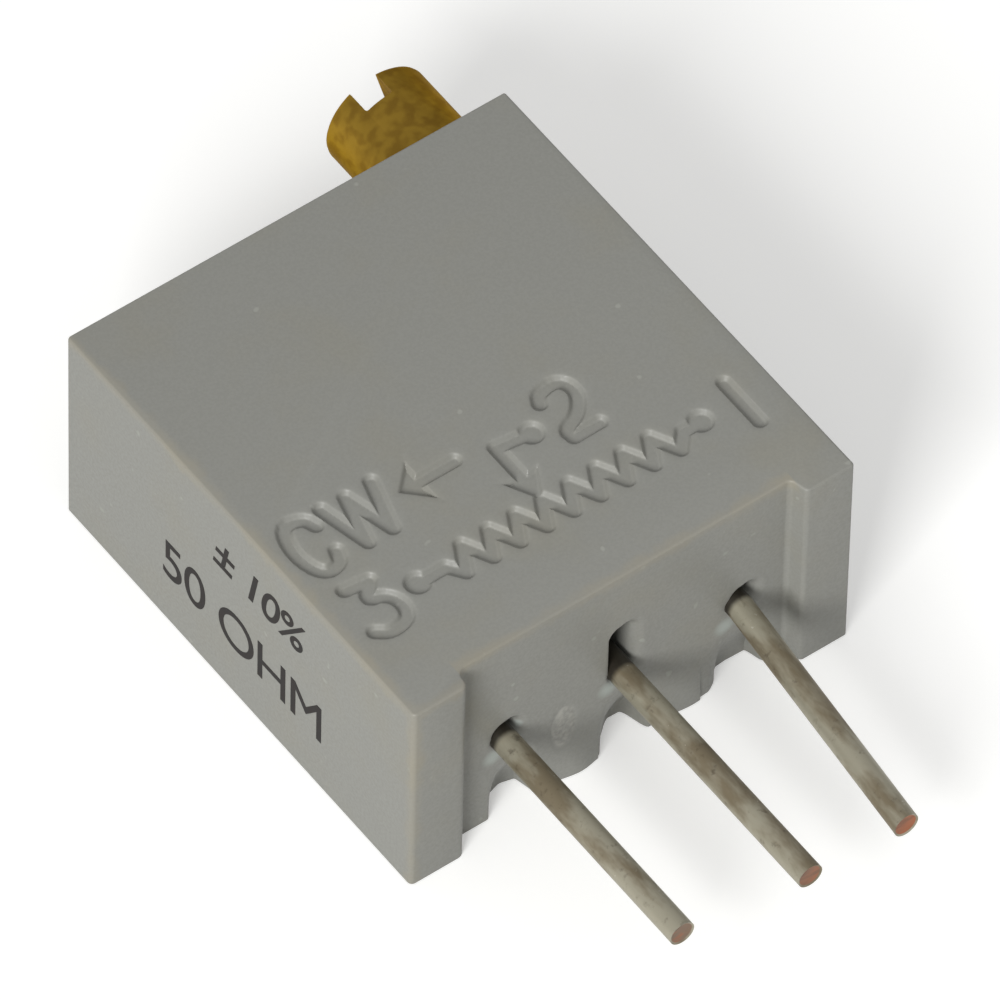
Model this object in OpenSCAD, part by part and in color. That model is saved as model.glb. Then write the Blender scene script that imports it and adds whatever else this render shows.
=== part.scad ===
// Square multi-turn cermet trimmer potentiometer, three pins in line, screw on the side.
// The part lies on its rear face. X runs from pin 3 to pin 1, Y points out along the
// adjustment screw, Z points out of the marked front face. All sizes are in millimetres.

/* [Housing] */
// Width across the row of pins
body_w = 9.53; // [9.3:0.01:10.5]
// Height from the feet to the screw face
body_h = 10.3; // [10.2:0.05:11.2]
// Thickness from the rear face to the front face
body_t = 4.83; // [4.75:0.01:5.6]
// Radius of the outer edges
edge_r = 0.08; // [0.04:0.01:0.3]
// Thickness of the two side walls
side_wall = 0.6; // [0.5:0.05:0.7]
// Thickness of the front wall
front_wall = 0.65; // [0.4:0.05:0.7]
// Thickness of the wall that the pins come through
pin_wall = 0.9; // [0.8:0.05:1]
// Thickness of the wall that the screw comes through
screw_wall = 1.45; // [1.3:0.05:1.5]

/* [Marks] */
// Depth of the marks in the front face
mark_depth = 0.1; // [0.04:0.01:0.14]
// Width of their strokes
mark_w = 0.27; // [0.2:0.01:0.3]
// Radius of the dots at the ends of the circuit sign
dot_r = 0.22; // [0.16:0.01:0.26]
// Number of low points in the zigzag of the circuit sign
zig_lows = 9; // [6:1:9]

/* [Feet] */
// Width of the foot beside pin 3
foot_left_w = 1.2; // [0.8:0.05:1.4]
// Width of the foot beside pin 1
foot_right_w = 1.08; // [0.8:0.05:1.4]
// How far the feet stand out past the floor between them
foot_h = 0.38; // [0.2:0.02:0.5]
// Radius where a foot meets the floor and at its corner
foot_fillet = 0.15; // [0.05:0.01:0.18]

/* [Pins] */
// Distance between neighbouring pins
pin_pitch = 2.54; // [2.4:0.01:2.6]
// Diameter of the pin wire
pin_d = 0.51; // [0.4:0.01:0.56]
// Height of the pin axes above the rear face
pin_z = 2.17; // [2.15:0.01:2.25]
// Length of pin 3 outside the floor
pin_3_len = 5.25; // [3:0.05:12]
// Length of pin 2 outside the floor
pin_2_len = 5.55; // [3:0.05:12]
// Length of pin 1 outside the floor
pin_1_len = 5.55; // [3:0.05:12]
// Angle that pin 1 is bent
pin_1_bend = 5; // [1:0.1:8]
// Way that it is bent, from 0 towards pin 2 to 90 towards the rear
pin_1_turn = 23; // [0:1:90]
// Length of each pin that is soldered inside
pin_inner_len = 0.9; // [0.6:0.05:1]
// How much thinner the inner end of pins 2 and 3 is
pin_inner_taper = 0.01; // [0.005:0.005:0.02]
// Air between a pin and its hole
hole_clear = 0.1; // [0.04:0.01:0.14]
// Height of the hole for pin 2, which is a slot
slot_hole_h = 1.6; // [0.8:0.1:1.7]
// Width of the channel from each pin hole to the rear edge
channel_w = 1.05; // [0.8:0.05:1.2]
// Depth of that channel
channel_depth = 0.56; // [0.2:0.02:0.6]
// How far the channel lies to the right of its pin
channel_shift = 0.12; // [0:0.01:0.15]
// How far the left wall of the channel leans
channel_lean = 0.4; // [0.1:0.05:0.5]

/* [Screw] */
// Distance from the screw axis to the side face
screw_from_side = 1.265; // [1.24:0.005:1.35]
// Height of the screw axis above the rear face
screw_z = 3; // [2.95:0.01:3.1]
// Diameter of the screw head
head_d = 2.16; // [1.8:0.02:2.3]
// Length of the head outside the housing
head_out = 2.18; // [1:0.02:2.6]
// Width of the screwdriver slot
driver_slot_w = 0.59; // [0.4:0.01:0.7]
// Depth of the screwdriver slot
driver_slot_depth = 0.55; // [0.3:0.01:0.8]
// Angle of the slot about the screw axis
driver_slot_angle = -15; // [-90:1:90]
// Chamfer on the rim of the head
head_chamfer = 0.07; // [0.02:0.01:0.12]
// Diameter of the plain shaft in the housing
shaft_d = 1.6; // [1.54:0.01:1.66]
// Air all round the shaft in its bore
shaft_clear = 0.04; // [0.02:0.005:0.05]
// Width of the groove for the sealing ring
ring_groove_w = 0.46; // [0.4:0.02:0.5]
// Diameter of the groove for the sealing ring
ring_groove_d = 0.96; // [0.9:0.01:1.02]
// Diameter of the neck that the retainer holds
neck_d = 1; // [0.9:0.02:1.1]
// Length of that neck
neck_len = 0.42; // [0.4:0.01:0.5]

/* [Worm drive] */
// Number of teeth on the wiper gear
gear_teeth = 30; // [28:1:32]
// Pitch diameter of the worm
worm_pitch_d = 1.3; // [1.26:0.01:1.34]
// Height of the thread above the pitch line, and of a tooth
addendum = 0.15; // [0.12:0.01:0.16]
// Extra depth of the root below the mating tip
root_clear = 0.06; // [0.04:0.01:0.08]
// Slope of the thread and tooth flanks
flank_angle = 20; // [14:0.5:24]
// Width of the worm thread on the pitch line
thread_w = 0.2; // [0.16:0.01:0.22]
// Width of a gear tooth on the pitch line
tooth_w = 0.24; // [0.2:0.01:0.26]
// Number of turns of thread on the worm
worm_turns = 7; // [4:1:7]
// Thickness of the toothed rim
rim_t = 0.76; // [0.5:0.02:0.8]

/* [Wiper gear] */
// Diameter of the pivot moulded in the housing
pivot_d = 1.2; // [1:0.05:1.3]
// Air all round the pivot in the gear
pivot_clear = 0.04; // [0.02:0.005:0.08]
// Outer diameter of the gear hub
hub_d = 2.6; // [2.2:0.1:3]
// Gap between the hub and the front wall
hub_gap = 0.08; // [0.05:0.01:0.15]
// Diameter of the two posts that hold the contact
post_d = 0.3; // [0.2:0.02:0.34]

/* [Element] */
// Thickness of the ceramic plate
ceramic_t = 0.635; // [0.5:0.005:0.7]
// Thickness of the fired tracks and pads
film_t = 0.02; // [0.015:0.005:0.03]
// Mean radius of the resistive arc
arc_r = 2.45; // [2.3:0.05:2.5]
// Width of the resistive arc
arc_w = 0.66; // [0.4:0.02:0.7]
// Angle that the resistive arc covers
arc_angle = 256; // [240:2:262]
// Mean radius of the collector ring
collector_r = 1.12; // [1.05:0.01:1.2]
// Width of the collector ring
collector_w = 0.5; // [0.3:0.02:0.6]
// Width of the leads to the pads
lead_w = 0.6; // [0.3:0.05:0.7]
// Width of a pad under a pin
pad_w = 1.2; // [1:0.05:1.4]
// Length of a pad under a pin
pad_len = 1.05; // [1:0.05:1.1]
// Radius of the solder round a pin
solder_r = 0.48; // [0.4:0.01:0.5]

/* [Contact] */
// Thickness of the spring metal
contact_t = 0.08; // [0.06:0.01:0.1]
// Width of one finger
finger_w = 0.15; // [0.1:0.01:0.16]
// Distance between finger centres
finger_pitch = 0.22; // [0.2:0.01:0.24]
// Gap between the fingers and the tracks
finger_gap = 0.02; // [0.01:0.005:0.04]
// Length of a finger from its plate to its tip
finger_len = 0.85; // [0.7:0.05:0.9]
// How far the tip of a finger turns up
finger_lift = 0.1; // [0.05:0.01:0.12]

/* [Rear] */
// Thickness of the rear cover
cover_t = 0.85; // [0.6:0.05:1]
// Gap all round the cover, which the epoxy fills
seam_w = 0.16; // [0.1:0.01:0.25]
// Depth of the epoxy in that gap
seal_depth = 0.45; // [0.3:0.05:0.55]
// How far the epoxy lies below the rear face
seal_sunk = 0.03; // [0.02:0.01:0.1]
// Width of the rim of the cover, which presses on the ceramic plate
cover_rim = 0.6; // [0.4:0.05:0.8]

/* [Hidden] */

$fn = 48;
// A hair's breadth, the lap of two hollows, and how far a cutting shape runs past
eps = 0.01;
lap = 0.1;
over = 1;

half_w = body_w / 2;
top_y = body_h / 2;
foot_y = -body_h / 2;
floor_y = foot_y + foot_h;

// The space inside, in three depths: rear cavity, rotor chamber, worm channel
inner_x = half_w - side_wall;
inner_floor_y = floor_y + pin_wall;
inner_top_y = top_y - screw_wall;
chamber_top_z = body_t - front_wall;
pin_r = pin_d / 2;
film_z = pin_z - pin_r;
ledge_z = film_z - film_t;
ceramic_rear_z = ledge_z - ceramic_t;
cavity_corner_r = 0.35;
element_gap = 0.06;

// The worm and the gear that it turns
worm_x = half_w - screw_from_side;
worm_r = worm_pitch_d / 2;
worm_tip_r = worm_r + addendum;
worm_core_r = worm_r - addendum - root_clear;
chamber_clear = 0.12;
gear_x = (worm_x - worm_r + addendum + chamber_clear - inner_x) / 2;
gear_y = (inner_floor_y + inner_top_y) / 2;
gear_pitch_r = worm_x - worm_r - gear_x;
gear_tip_r = gear_pitch_r + addendum;
gear_root_r = gear_pitch_r - addendum - root_clear;
chamber_r = gear_tip_r + chamber_clear;
thread_pitch = 2 * PI * gear_pitch_r / gear_teeth;
thread_len = worm_turns * thread_pitch;
rim_z = screw_z - rim_t / 2;
pivot_r = pivot_d / 2;
pivot_end_z = film_z + 0.45;
gear_bore_r = pivot_r + pivot_clear;
hub_r = hub_d / 2;
web_depth = rim_t / 3;
web_step = 0.35;

// The screw from its inner end to its head
shaft_r = shaft_d / 2;
bore_r = shaft_r + shaft_clear;
head_gap = 0.05;
head_y = top_y + head_gap;
neck_y = inner_top_y - neck_len;
collar_len = 0.2;
journal_play = 0.04;
journal_len = 0.7;
worm_clear = 0.08;
worm_end_clear = 0.12;
space_r = worm_tip_r + worm_clear;
space_end_y = gear_y - thread_len / 2 - worm_end_clear;
ring_clear = 0.005;
ring_section_r = (bore_r - ring_groove_d / 2) / 2 - 2 * ring_clear;
ring_center_r = ring_groove_d / 2 + ring_clear + ring_section_r;
ring_y = (inner_top_y + top_y) / 2;

// The retainer that straddles the neck
retainer_play = 0.05;
retainer_fit = 0.02;
retainer_t = neck_len - 2 * retainer_play;
retainer_half_w = shaft_r + worm_clear;
retainer_top_z = screw_z + shaft_r + lap;
retainer_y = neck_y + retainer_play;
retainer_slot_r = neck_d / 2 + 0.03;

// The pin holes, channels and the bay for the soldered ends
hole_r = pin_r + hole_clear;
pin_end_y = inner_floor_y + pin_inner_len;
tip_chamfer = 0.04;
taper_y = floor_y - 0.28;
bend_y = floor_y - 0.12;
bay_x = pin_pitch + pad_w / 2 + 0.05;
bay_top_z = film_z + pin_d + lap;
channel_top_z = pin_z - 0.1;
gate_x = -1.2;
gate_z = 1.4;
gate_r = 0.27;
gate_depth = 0.03;

// The pads, the solder on them, and the posts that hold the contact
pad_gap = 0.08;
pad_top_y = inner_floor_y + pad_gap + pad_len;
solder_gap = 0.1;
post_x = -0.68;
post_radii = [1.4, 2.2];
post_len = contact_t + 0.05;
plate_x = -0.98;
plate_w = 0.62;
plate_edge = 0.03;

function pin_x(number) = (2 - number) * pin_pitch;

// The strokes of the marks, as shares of half the body's width and height
MARK_LINES = [
    // The figure 3
    [[-0.865, -0.427], [-0.760, -0.427], [-0.818, -0.517]],
    [[-0.818, -0.517], [-0.764, -0.532], [-0.730, -0.579], [-0.756, -0.635], [-0.823, -0.654],
        [-0.875, -0.629]],
    // The figure 1
    [[0.839, -0.452], [0.839, -0.664]],
    // The figure 2
    [[0.241, -0.163], [0.285, -0.132], [0.340, -0.148], [0.361, -0.202], [0.321, -0.276],
        [0.252, -0.334]],
    [[0.246, -0.348], [0.357, -0.348]],
    // The letters C and W
    [[-0.772, -0.136], [-0.823, -0.097], [-0.875, -0.128], [-0.896, -0.208], [-0.875, -0.287],
        [-0.829, -0.320], [-0.776, -0.285]],
    [[-0.709, -0.097], [-0.657, -0.311], [-0.602, -0.103], [-0.546, -0.311], [-0.483, -0.097]],
    // The arrow
    [[-0.183, -0.198], [-0.409, -0.198]],
    [[-0.365, -0.148], [-0.420, -0.198], [-0.353, -0.264]],
    // The wiper of the circuit sign
    [[0.105, -0.239], [-0.025, -0.233], [-0.025, -0.476]],
    [[-0.071, -0.379], [-0.025, -0.470], [0.025, -0.379]]
];
MARK_DOTS = [[-0.621, -0.544], [0.663, -0.544], [0.126, -0.247]];

// The zigzag of the circuit sign, with a straight end to the dot on each side
zig_left = [[-0.62, -0.544], [-0.495, -0.544]];
zig_right = [[0.583, -0.544], [0.66, -0.544]];
zig_from = [-0.448, -0.604];
zig_to = [0.524, -0.497];
function zig_point(i) = [
    zig_from[0] + (zig_to[0] - zig_from[0]) * i / (2 * zig_lows - 2),
    i % 2 == 0 ? zig_from[1] : zig_to[1]
];
zigzag = [for (i = [0:2 * zig_lows - 2]) zig_point(i)];

// One edge of a stroke: square at the ends, and cut off outside a sharp turn
function unit(v) = v / norm(v);
function right_of(d) = [d[1], -d[0]];
function edge_points(line, i) = let (
        n = len(line) - 1,
        h = mark_w / 2,
        from = unit(line[max(i, 1)] - line[max(i, 1) - 1]),
        to = unit(line[min(i, n - 1) + 1] - line[min(i, n - 1)]),
        mitre = unit(right_of(from) + right_of(to)),
        blunt = from * to < 0 && from * right_of(to) > 0
    )
    i == 0 ? [line[0] + h * (right_of(to) - to)]
    : i == n ? [line[n] + h * (right_of(from) + from)]
    : blunt ? [line[i] + h * (right_of(from) + from / 2), line[i] + h * (right_of(to) - to / 2)]
    : [line[i] + h / (mitre * right_of(from)) * mitre];
function right_edge(line) = [for (i = [0:len(line) - 1]) each edge_points(line, i)];
function reversed(line) = [for (i = [len(line) - 1:-1:0]) line[i]];

// Points of a rectangle with rounded corners, centred on a place
function corner_points(x, y, r, from, steps) =
    [for (i = [0:steps]) [x + r * cos(from + 90 * i / steps), y + r * sin(from + 90 * i / steps)]];
function rounded_rect(x0, y0, x1, y1, r, steps = 6) = concat(
    corner_points(x1 - r, y1 - r, r, 0, steps),
    corner_points(x0 + r, y1 - r, r, 90, steps),
    corner_points(x0 + r, y0 + r, r, 180, steps),
    corner_points(x1 - r, y0 + r, r, 270, steps)
);

// A cylinder that runs along Y from y0 to y1
module along_y(x, z, r, y0, y1) {
    translate([x, y0, z])
        rotate([-90, 0, 0])
            cylinder(r = r, h = y1 - y0);
}

// A flat shape in X and Z, raised along Y from y0 to y1
module raise_y(y0, y1) {
    translate([0, y1, 0])
        rotate([90, 0, 0])
            linear_extrude(height = y1 - y0)
                children();
}

module body_block() {
    side_points = rounded_rect(foot_y, -body_t, top_y, body_t, edge_r);
    front_points = rounded_rect(-half_w, -body_t, half_w, body_t, edge_r);
    intersection() {
        linear_extrude(height = body_t)
            polygon(rounded_rect(-half_w, foot_y, half_w, top_y, edge_r));
        translate([-body_w, 0, 0])
            rotate([90, 0, 90])
                linear_extrude(height = 2 * body_w)
                    polygon(side_points);
        raise_y(-body_h, body_h)
            polygon(front_points);
    }
}

// The recess between the two feet, with its soft corners
module foot_recess() {
    x0 = -half_w + foot_left_w;
    x1 = half_w - foot_right_w;
    r = foot_fillet;
    linear_extrude(height = 3 * body_t, center = true)
        difference() {
            union() {
                polygon(rounded_rect(x0, foot_y - body_h, x1, floor_y, r));
                translate([x0 - r, foot_y - over])
                    square([x1 - x0 + 2 * r, over + r]);
            }
            for (x = [x0 - r, x1 + r])
                translate([x, foot_y + r])
                    circle(r = r);
        }
}

// The channel on the outside of the pin wall, from a pin hole to the rear edge
module pin_channel(x) {
    half = channel_w / 2;
    y = floor_y + channel_depth;
    intersection() {
        translate([x, 0, -eps])
            linear_extrude(height = channel_top_z + over)
                polygon([[-half, floor_y - over], [half, floor_y - over], [half, y - lap],
                    [half - lap, y], [channel_lean - half, y], [-half, floor_y + lap]]);
        union() {
            along_y(x, channel_top_z - half, half, floor_y - over, floor_y + over);
            translate([x - half, floor_y - over, -over])
                cube([channel_w, 2 * over, channel_top_z - half + over]);
        }
    }
}

// The round holes for pins 1 and 3 and the slot for pin 2
module pin_holes() {
    slot_top_z = pin_z + slot_hole_h - 2 * hole_r;
    for (number = [1:3])
        along_y(pin_x(number), pin_z, hole_r, floor_y - over, inner_floor_y + lap);
    along_y(pin_x(2), slot_top_z, hole_r, floor_y - over, inner_floor_y + lap);
    translate([pin_x(2) - hole_r, floor_y - over, pin_z])
        cube([2 * hole_r, over + pin_wall + lap, slot_top_z - pin_z]);
}

// The round mark left by the mould gate on the pin side
module gate_mark() {
    along_y(gate_x, gate_z, gate_r, floor_y - over, floor_y + gate_depth);
}

// One stroke of the marks, from its points as shares of the face
module mark_stroke(shares) {
    line = [for (s = shares) [s[0] * half_w, s[1] * top_y]];
    translate([0, 0, body_t - mark_depth])
        linear_extrude(height = mark_depth + over)
            polygon(concat(right_edge(line), right_edge(reversed(line))));
}

// The figures, letters, arrow and circuit sign that are sunk in the front face
module marks() {
    for (line = MARK_LINES)
        mark_stroke(line);
    mark_stroke(concat(zig_left, zigzag, zig_right));
    for (dot = MARK_DOTS)
        translate([dot[0] * half_w, dot[1] * top_y, body_t - mark_depth])
            cylinder(r = dot_r, h = mark_depth + over, $fn = 24);
}

module rotor_space() {
    translate([0, 0, -eps])
        linear_extrude(height = ledge_z + eps)
            polygon(rounded_rect(-inner_x, inner_floor_y, inner_x, inner_top_y, cavity_corner_r));
    translate([gear_x, gear_y, ledge_z - eps])
        cylinder(r = chamber_r, h = chamber_top_z - ledge_z + eps, $fn = 96);
    translate([-bay_x, inner_floor_y, ledge_z - eps])
        cube([2 * bay_x, gear_y - inner_floor_y, bay_top_z - ledge_z + eps]);
}

module screw_space() {
    along_y(worm_x, screw_z, space_r, space_end_y, retainer_y);
    translate([worm_x - space_r, space_end_y, ledge_z - eps])
        cube([2 * space_r, retainer_y - space_end_y, screw_z - ledge_z + eps]);
    along_y(worm_x, screw_z, worm_core_r + journal_play, space_end_y - journal_len,
        space_end_y + lap);
    along_y(worm_x, screw_z, bore_r, retainer_y, top_y + over);
    translate([worm_x - retainer_half_w - retainer_fit, retainer_y - retainer_fit, ledge_z - eps])
        cube([2 * (retainer_half_w + retainer_fit), retainer_t + 2 * retainer_fit,
            retainer_top_z + retainer_fit - ledge_z + eps]);
}

module housing() {
    color([0.56, 0.55, 0.54]) {
        difference() {
            body_block();
            foot_recess();
            for (number = [1:3])
                pin_channel(pin_x(number) + channel_shift);
            pin_holes();
            gate_mark();
            marks();
            rotor_space();
            screw_space();
        }
        translate([gear_x, gear_y, pivot_end_z])
            cylinder(r = pivot_r, h = chamber_top_z - pivot_end_z + eps);
    }
}

// The cover closes the rear and presses the ceramic plate on its ledge
module rear_cover() {
    x = inner_x - seam_w;
    y0 = inner_floor_y + seam_w;
    y1 = inner_top_y - seam_w;
    color([0.5, 0.49, 0.48])
        difference() {
            linear_extrude(height = ceramic_rear_z)
                polygon(rounded_rect(-x, y0, x, y1, cavity_corner_r - seam_w / 2));
            translate([0, 0, cover_t])
                linear_extrude(height = ceramic_rear_z)
                    polygon(rounded_rect(cover_rim - x, y0 + cover_rim, x - cover_rim,
                        y1 - cover_rim, cavity_corner_r));
        }
}

module epoxy_seal() {
    x = inner_x - seam_w;
    color([0.2, 0.18, 0.16])
        translate([0, 0, seal_sunk])
            linear_extrude(height = seal_depth)
                difference() {
                    polygon(rounded_rect(-inner_x, inner_floor_y, inner_x, inner_top_y,
                        cavity_corner_r));
                    polygon(rounded_rect(-x, inner_floor_y + seam_w, x, inner_top_y - seam_w,
                        cavity_corner_r - seam_w / 2));
                }
}

module ceramic_element() {
    gap = element_gap;
    color([0.93, 0.91, 0.86])
        translate([0, 0, ceramic_rear_z])
            linear_extrude(height = ceramic_t)
                polygon(rounded_rect(gap - inner_x, inner_floor_y + gap, inner_x - gap,
                    inner_top_y - gap, cavity_corner_r - gap));
}

// A band of a ring about the gear axis, from one angle to another off the +Y axis
module ring_band(r, w, from, to) {
    steps = 64;
    angles = [for (i = [0:steps]) from + (to - from) * i / steps];
    translate([gear_x, gear_y])
        polygon(concat(
            [for (a = angles) (r + w / 2) * [sin(a), cos(a)]],
            [for (i = [steps:-1:0]) (r - w / 2) * [sin(angles[i]), cos(angles[i])]]
        ));
}

module film(c) {
    color(c)
        translate([0, 0, ledge_z])
            linear_extrude(height = film_t)
                children();
}

module resistive_track() {
    film([0.16, 0.17, 0.18])
        ring_band(arc_r, arc_w, -arc_angle / 2, arc_angle / 2);
}

// A pad under a pin, at the edge of the plate
module pad_shape(number) {
    translate([pin_x(number) - pad_w / 2, pad_top_y - pad_len])
        square([pad_w, pad_len]);
}

module collector_track() {
    film([0.78, 0.77, 0.74]) {
        translate([gear_x, gear_y])
            difference() {
                circle(r = collector_r + collector_w / 2);
                circle(r = collector_r - collector_w / 2);
            }
        translate([gear_x - lead_w / 2, pad_top_y - pad_len / 2])
            square([lead_w, gear_y - collector_r - pad_top_y + pad_len / 2]);
        pad_shape(2);
    }
}

// The conductor from one end of the arc down to its pad; side is 1 or -1
module end_lead(number, side) {
    a = side * arc_angle / 2;
    inner = (arc_r - arc_w / 2) * [sin(a), cos(a)] + [gear_x, gear_y];
    outer = (arc_r + arc_w / 2) * [sin(a), cos(a)] + [gear_x, gear_y];
    left = side > 0 ? inner : outer;
    right = side > 0 ? outer : inner;
    y = pad_top_y - pad_len / 2;
    film([0.78, 0.77, 0.74])
        union() {
            polygon([left, [pin_x(number) - lead_w / 2, y], [pin_x(number) + lead_w / 2, y], right]);
            pad_shape(number);
        }
}
module end_lead_1() end_lead(1, 1);
module end_lead_3() end_lead(3, -1);

// A straight pin of tinned copper wire, with its sheared tip
module straight_pin(number, outer_len) {
    tip_y = floor_y - outer_len;
    color([0.62, 0.6, 0.53])
        translate([pin_x(number), 0, pin_z])
            rotate([-90, 0, 0])
                rotate_extrude()
                    polygon([[0, tip_y], [pin_r - tip_chamfer, tip_y], [pin_r, tip_y + tip_chamfer],
                        [pin_r, taper_y], [pin_r - pin_inner_taper / 2, pin_end_y], [0, pin_end_y]]);
}
module pin_2() straight_pin(2, pin_2_len);
module pin_3() straight_pin(3, pin_3_len);

// Half of space on one side of the mitre where the two stretches of pin 1 meet
module mitre_half(side) {
    size = 4 * body_h;
    rotate([0, 0, -pin_1_bend / 2])
        translate([-size / 2, side > 0 ? 0 : -size, -size / 2])
            cube(size);
}

// Pin 1 is bent a little just outside its hole
module pin_1() {
    color([0.62, 0.6, 0.53])
        translate([pin_x(1), bend_y, pin_z])
            rotate([0, -pin_1_turn, 0])
                union() {
                    intersection() {
                        along_y(0, 0, pin_r, -over, pin_end_y - bend_y);
                        mitre_half(1);
                    }
                    intersection() {
                        rotate([0, 0, -pin_1_bend])
                            along_y(0, 0, pin_r, floor_y - pin_1_len - bend_y, over);
                        mitre_half(-1);
                    }
                }
}

// A low mound of solder that joins a pin to its pad
module solder(number) {
    color([0.7, 0.7, 0.72])
        difference() {
            along_y(pin_x(number), film_z, solder_r, inner_floor_y + solder_gap,
                pin_end_y + solder_gap);
            along_y(pin_x(number), pin_z, pin_r, inner_floor_y, pin_end_y);
            translate([pin_x(number) - over, inner_floor_y - over, film_z - over])
                cube([2 * over, pin_inner_len + 2 * over, over]);
        }
}
module solder_1() solder(1);
module solder_2() solder(2);
module solder_3() solder(3);

// Outline of the gear: one trapezoid tooth after another
function turned(r, a) = [r * cos(a), r * sin(a)];
function half_angle(r, w) = w / 2 / r * 180 / PI;
function tooth_width(r) = tooth_w - 2 * (r - gear_pitch_r) * tan(flank_angle);
module gear_outline() {
    step = 360 / gear_teeth;
    tip_half = half_angle(gear_tip_r, tooth_width(gear_tip_r));
    root_half = half_angle(gear_root_r, tooth_width(gear_root_r));
    polygon([for (i = [0:gear_teeth - 1]) let (a = (i + 0.5) * step)
        each [turned(gear_root_r, a - root_half), turned(gear_tip_r, a - tip_half),
            turned(gear_tip_r, a + tip_half), turned(gear_root_r, a + root_half)]]);
}

module wiper_gear() {
    hub_top_z = chamber_top_z - hub_gap;
    color([0.9, 0.88, 0.8])
        translate([gear_x, gear_y, 0]) {
            difference() {
                union() {
                    translate([0, 0, rim_z])
                        linear_extrude(height = rim_t)
                            gear_outline();
                    translate([0, 0, rim_z])
                        cylinder(r = hub_r, h = hub_top_z - rim_z);
                }
                translate([0, 0, rim_z + rim_t - web_depth])
                    difference() {
                        cylinder(r = gear_root_r - web_step, h = web_depth + eps);
                        translate([0, 0, -eps])
                            cylinder(r = hub_r, h = web_depth + 3 * eps);
                    }
                translate([0, 0, rim_z - over])
                    cylinder(r = gear_bore_r, h = hub_top_z - rim_z + 2 * over);
            }
            for (r = post_radii)
                translate([post_x, r, rim_z - post_len])
                    cylinder(d = post_d, h = post_len + eps);
        }
}

// One sprung finger: a bent strip at a radius, seen from the side as a polygon
module finger(r) {
    low = film_z + finger_gap;
    high = rim_z - contact_t;
    t = contact_t;
    root = plate_x + plate_w - t / 2;
    tip = root + finger_len;
    turn = tip - 1.5 * finger_lift;
    flat = turn - finger_lift;
    translate([0, r + finger_w / 2, 0])
        rotate([90, 0, 0])
            linear_extrude(height = finger_w)
                polygon([
                    [root, high], [root + 1.5 * t, high], [flat, low], [turn, low],
                    [tip, low + finger_lift], [tip - t / 2, low + finger_lift + t],
                    [turn - t / 4, low + t], [flat + t / 4, low + t],
                    [root + 2 * t, high + t], [root, high + t]
                ]);
}

module wiper_contact() {
    outer_edge = arc_r + finger_pitch + finger_w / 2 + plate_edge;
    inner_edge = collector_r - finger_pitch / 2 - finger_w / 2 - plate_edge;
    color([0.8, 0.72, 0.5])
        translate([gear_x, gear_y, 0])
            union() {
                difference() {
                    translate([plate_x, inner_edge, rim_z - contact_t])
                        cube([plate_w, outer_edge - inner_edge, contact_t]);
                    for (r = post_radii)
                        translate([post_x, r, rim_z - over])
                            cylinder(d = post_d + 2 * eps, h = 2 * over);
                }
                for (i = [-1:1])
                    finger(arc_r + i * finger_pitch);
                for (i = [-0.5, 0.5])
                    finger(collector_r + i * finger_pitch);
            }
}

// The worm thread: a trapezoid carried along a right-hand helix
module worm_thread() {
    seg = 24;
    steps = worm_turns * seg;
    run_out = seg / 4;
    start_share = 0.12;
    sunk = root_clear;
    slope = tan(flank_angle);
    base_half = thread_w / 2 + (addendum + root_clear + sunk) * slope;
    function fade(i) = min(1, start_share + min(i, steps - i) / run_out);
    function ring(i) = let (
            a = -90 + 360 * (i - steps / 2) / seg,
            y = gear_y + thread_pitch * (i - steps / 2) / seg,
            tip = worm_core_r + (worm_tip_r - worm_core_r) * fade(i),
            tip_half = thread_w / 2 + (worm_r - tip) * slope,
            base = worm_core_r - sunk
        ) [
            [base * sin(a), y - base_half, base * cos(a)],
            [tip * sin(a), y - tip_half, tip * cos(a)],
            [tip * sin(a), y + tip_half, tip * cos(a)],
            [base * sin(a), y + base_half, base * cos(a)]
        ];
    points = [for (i = [0:steps]) each ring(i)];
    sides = [for (i = [0:steps - 1]) for (k = [0:3]) let (
            a = 4 * i + k, b = 4 * i + (k + 1) % 4)
        each [[a, b + 4, a + 4], [a, b, b + 4]]];
    last = 4 * steps;
    ends = [[0, 2, 1], [0, 3, 2], [last, last + 1, last + 2], [last, last + 2, last + 3]];
    translate([worm_x, 0, screw_z])
        polyhedron(points = points, faces = concat(sides, ends), convexity = 10);
}

// The turned screw, as radii and heights from its inner end to its head
module turned_screw() {
    end_y = space_end_y - journal_len + lap;
    ring_0 = ring_y - ring_groove_w / 2;
    ring_1 = ring_y + ring_groove_w / 2;
    head_r = head_d / 2;
    top = top_y + head_out;
    translate([worm_x, 0, screw_z])
        rotate([-90, 0, 0])
            rotate_extrude()
                polygon([
                    [0, end_y], [worm_core_r, end_y], [worm_core_r, neck_y - collar_len],
                    [shaft_r, neck_y - collar_len], [shaft_r, neck_y], [neck_d / 2, neck_y],
                    [neck_d / 2, inner_top_y], [shaft_r, inner_top_y], [shaft_r, ring_0],
                    [ring_groove_d / 2, ring_0], [ring_groove_d / 2, ring_1], [shaft_r, ring_1],
                    [shaft_r, head_y], [head_r, head_y], [head_r, top - head_chamfer],
                    [head_r - head_chamfer, top], [0, top]
                ]);
}

module adjustment_screw() {
    color([0.66, 0.5, 0.22])
        difference() {
            union() {
                turned_screw();
                worm_thread();
            }
            translate([worm_x, top_y + head_out, screw_z])
                rotate([0, driver_slot_angle, 0])
                    cube([driver_slot_w, 2 * driver_slot_depth, 2 * head_d], center = true);
        }
}

module screw_o_ring() {
    color([0.12, 0.12, 0.12])
        translate([worm_x, ring_y, screw_z])
            rotate([-90, 0, 0])
                rotate_extrude()
                    translate([ring_center_r, 0])
                        circle(r = ring_section_r);
}

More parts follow.
